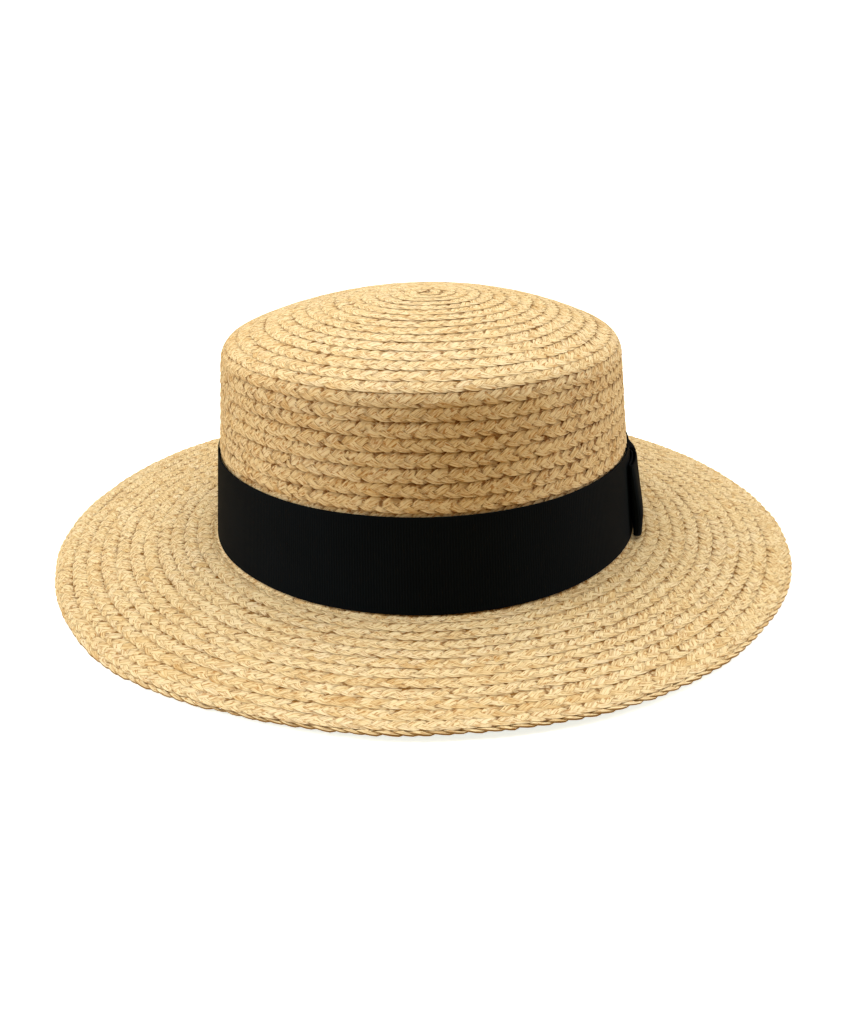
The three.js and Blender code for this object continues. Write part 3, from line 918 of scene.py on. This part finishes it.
def makeLoops():
    b = bow
    otherHalf = [(-along, off, tall) for along, off, tall in loopShape[-2::-1]]
    track = smoothTrack(loopShape + otherHalf, 8)
    depth = b["depth"] - b["room"] - b["clear"]
    length = runLength(track[:, :2] * (b["halfLength"], depth))
    cut = length[-1] - b["endGap"]
    strip, flat = cutRibbon("bowLoops", cut, b["height"], *b["cells"])
    along, off, tall = [np.interp(flat[:, 0] + b["endGap"] / 2, length, track[:, k]) for k in range(3)]
    # how far up the ribbon's width a point is, from 0 to 1
    level = flat[:, 1] / b["height"]
    high = b["pinchedHeight"] + (b["height"] - b["pinchedHeight"]) * tall
    upper = tall * np.maximum(0, level - b["upperFrom"]) / (1 - b["upperFrom"])
    lower = tall * np.maximum(0, b["lowerFrom"] - level) / b["lowerFrom"]
    depths = depth + (b["upperDepth"] - b["depth"]) * upper + (b["lowerDepth"] - b["depth"]) * lower
    pinch = smoothStep(*b["foldReach"], np.abs(along))
    # the back is folded less, and the other way
    folds = b["folds"] * pinch * np.where(off < 0.5, -0.4, 1)
    folds = folds * np.cos(2 * math.pi * (b["foldCount"] * level + 0.2))
    height = b["lowEdge"] + (b["height"] - high) / 2 + high * level
    height = height - b["sag"] * level * smoothStep(0.1, 1, along)
    places = besideRibbon(along * b["halfLength"], b["clear"] + b["room"] / 2 + off * depths + folds, height)
    finishRibbon(strip, places, b["thick"], "bow_loops")
    print("bow loops cut", round(cut, 1), "mm long")


makeLoops()

# The knot: a narrower piece of the same ribbon wrapped once round the bow's middle, its ends meeting behind
knot = {
    "width": 13.0, "thick": 0.55,
    "back": 0.62, "front": 3.6,   # mm off the ribbon
    "reach": 10.4,                # mm up and down from the bow's middle
    "corner": 1.1, "bulge": 0.35,
    "waist": 0.06,                # share by which it is narrower half way up
    "drawnIn": 0.3, "crease": 0.12,   # mm, its side edges and its lengthwise folds, on the front alone
    "endGap": 0.3,
    "cells": (96, 14),
}


def makeKnot():
    k = knot
    middle = bow["lowEdge"] + bow["height"] / 2
    back, front, reach, corner = k["back"], k["front"], k["reach"], k["corner"]
    # from the middle of the back over the top: off the ribbon, height, and whether the bulge counts
    upper = [(back, 0, 0), (back, reach - 0.4, 0)]
    for degrees in range(0, 91, 15):
        turn = math.radians(degrees)
        upper.append((front - corner + corner * math.sin(turn), reach - corner + corner * math.cos(turn), 1))
    straight = reach - corner - 1.5
    face = [(front, rise, 1) for rise in np.linspace(straight, -straight, 11)]
    lower = [(off, -rise, bulges) for off, rise, bulges in upper[:0:-1]]
    bends = np.array(upper + face + lower + [(back, -k["endGap"], 0)], float)
    bends[:, 0] += k["bulge"] * bends[:, 2] * np.cos(np.clip(bends[:, 1] / reach, -1, 1) * math.pi / 2)
    length = runLength(bends[:, :2])
    strip, flat = cutRibbon("bowKnot", length[-1], k["width"], *k["cells"])
    off, rise = [np.interp(flat[:, 0], length, bends[:, n]) for n in range(2)]
    side = flat[:, 1] / k["width"] * 2 - 1
    waist = 1 - k["waist"] * np.cos(rise / reach * math.pi / 2)
    along = side * waist * k["width"] / 2
    front = k["crease"] * np.cos(side * 5.5 + 0.6) - k["drawnIn"] * smoothStep(0.8, 1.0, np.abs(side))
    off = off + np.where(off > 2, front, 0)
    places = besideRibbon(along, off, middle + rise)
    finishRibbon(strip, places, k["thick"], "bow_knot")
    print("knot cut", round(length[-1], 1), "mm long")


makeKnot()

# A white paper sweep, level under the hat and curved up all round. Lengths from here on are in metres.
stage = {
    "level": 1.0, "curve": 0.6, "rise": 1.5, "floor": -0.0002,
    "steps": 8,
    "paper": "#F8F8F6", "glow": "#F9FFF9", "fill": "#BFA26F",
}


def makeStage():
    bpy.ops.mesh.primitive_circle_add(vertices=96, radius=stage["level"], fill_type="NGON",
                                      location=(0, 0, stage["floor"]))
    sweep = bpy.context.object
    sweep.name = "paperSweep"
    bpy.ops.object.mode_set(mode="EDIT")
    bpy.ops.mesh.select_mode(type="EDGE")
    bpy.ops.mesh.select_all(action="SELECT")
    # radius and height at each step of the curve, and at the top of the wall
    turns = [math.pi / 2 * step / stage["steps"] for step in range(stage["steps"] + 1)]
    levels = [(stage["level"] + stage["curve"] * math.sin(turn), stage["curve"] * (1 - math.cos(turn)))
              for turn in turns]
    levels.append((levels[-1][0], levels[-1][1] + stage["rise"]))
    for (radius, height), (nextRadius, nextHeight) in zip(levels, levels[1:]):
        grow = nextRadius / radius
        bpy.ops.mesh.extrude_edges_move()
        bpy.ops.transform.resize(value=(grow, grow, 1), center_override=(0, 0, 0))
        bpy.ops.transform.translate(value=(0, 0, nextHeight - height))
    bpy.ops.object.mode_set(mode="OBJECT")
    bpy.ops.object.shade_smooth()
    bpy.ops.object.transform_apply(location=True, rotation=True, scale=True)
    sweep.data.materials.append(makePaper())


# Seamless background paper: matt and overexposed behind the hat, helped by a painted glow that only the
# camera sees, weaker near the hat so that the hat's shadow on it stays faint; and dimmer for the light that
# it gives back
def makePaper():
    material, tree = newMaterial("whitePaperSweep")
    place = addNode(tree, "TexCoord")
    away = addNode(tree, "VectorMath", {"operation": "LENGTH"}, links={0: place.outputs["Object"]})
    # painted light: the glow grows from near the hat to far off
    glow = addNode(tree, "MapRange",
                   values={"From Min": 0.25, "From Max": 0.8, "To Min": 0.8, "To Max": 1.0},
                   links={"Value": away.outputs["Value"]})
    white = addNode(tree, "BsdfDiffuse", values={"Color": linearColour(stage["paper"])})
    light = addNode(tree, "Emission", values={"Color": linearColour(stage["glow"])},
                    links={"Strength": glow.outputs["Result"]})
    seen = addNode(tree, "AddShader", links={0: white.outputs["BSDF"], 1: light.outputs["Emission"]})
    back = addNode(tree, "BsdfDiffuse", values={"Color": linearColour(stage["fill"])})
    toCamera = addNode(tree, "LightPath").outputs["Is Camera Ray"]
    both = addNode(tree, "MixShader",
                   links={0: toCamera, 1: back.outputs["BSDF"], 2: seen.outputs["Shader"]})
    addNode(tree, "OutputMaterial", links={"Surface": both.outputs["Shader"]})
    return material


makeStage()

# Soft studio light: a large box close overhead and a smaller one further off on either side, in a room
# whose own light is warm
lamps = [
    {"name": "overheadSoftbox", "at": (-0.04, 0.0, 0.62), "size": 0.6, "watts": 3.93},
    {"name": "leftSoftbox", "at": (-0.8, -0.15, 0.35), "size": 0.5, "watts": 4.15},
    {"name": "rightSoftbox", "at": (0.8, 0.0, 0.3), "size": 0.5, "watts": 3.75},
]
lampColour = (1, 0.985, 0.96)
room = {"colour": (1, 0.90, 0.64, 1), "strength": 0.61}


def makeLights():
    world = bpy.data.worlds.new("studioRoom")
    bpy.context.scene.world = world
    world.use_nodes = True
    background = world.node_tree.nodes["Background"]
    background.inputs["Color"].default_value = room["colour"]
    background.inputs["Strength"].default_value = room["strength"]
    for lamp in lamps:
        place = Vector(lamp["at"])
        facing = (-place).to_track_quat("-Z", "Y").to_euler()
        bpy.ops.object.light_add(type="AREA", location=place, rotation=facing)
        box = bpy.context.object
        box.name = lamp["name"]
        box.data.shape = "SQUARE"
        box.data.size = lamp["size"]
        box.data.energy = lamp["watts"]
        box.data.color = lampColour


makeLights()
view = bpy.context.scene.view_settings
view.view_transform = "Standard"
view.look = "None"
print("stage and lights set")
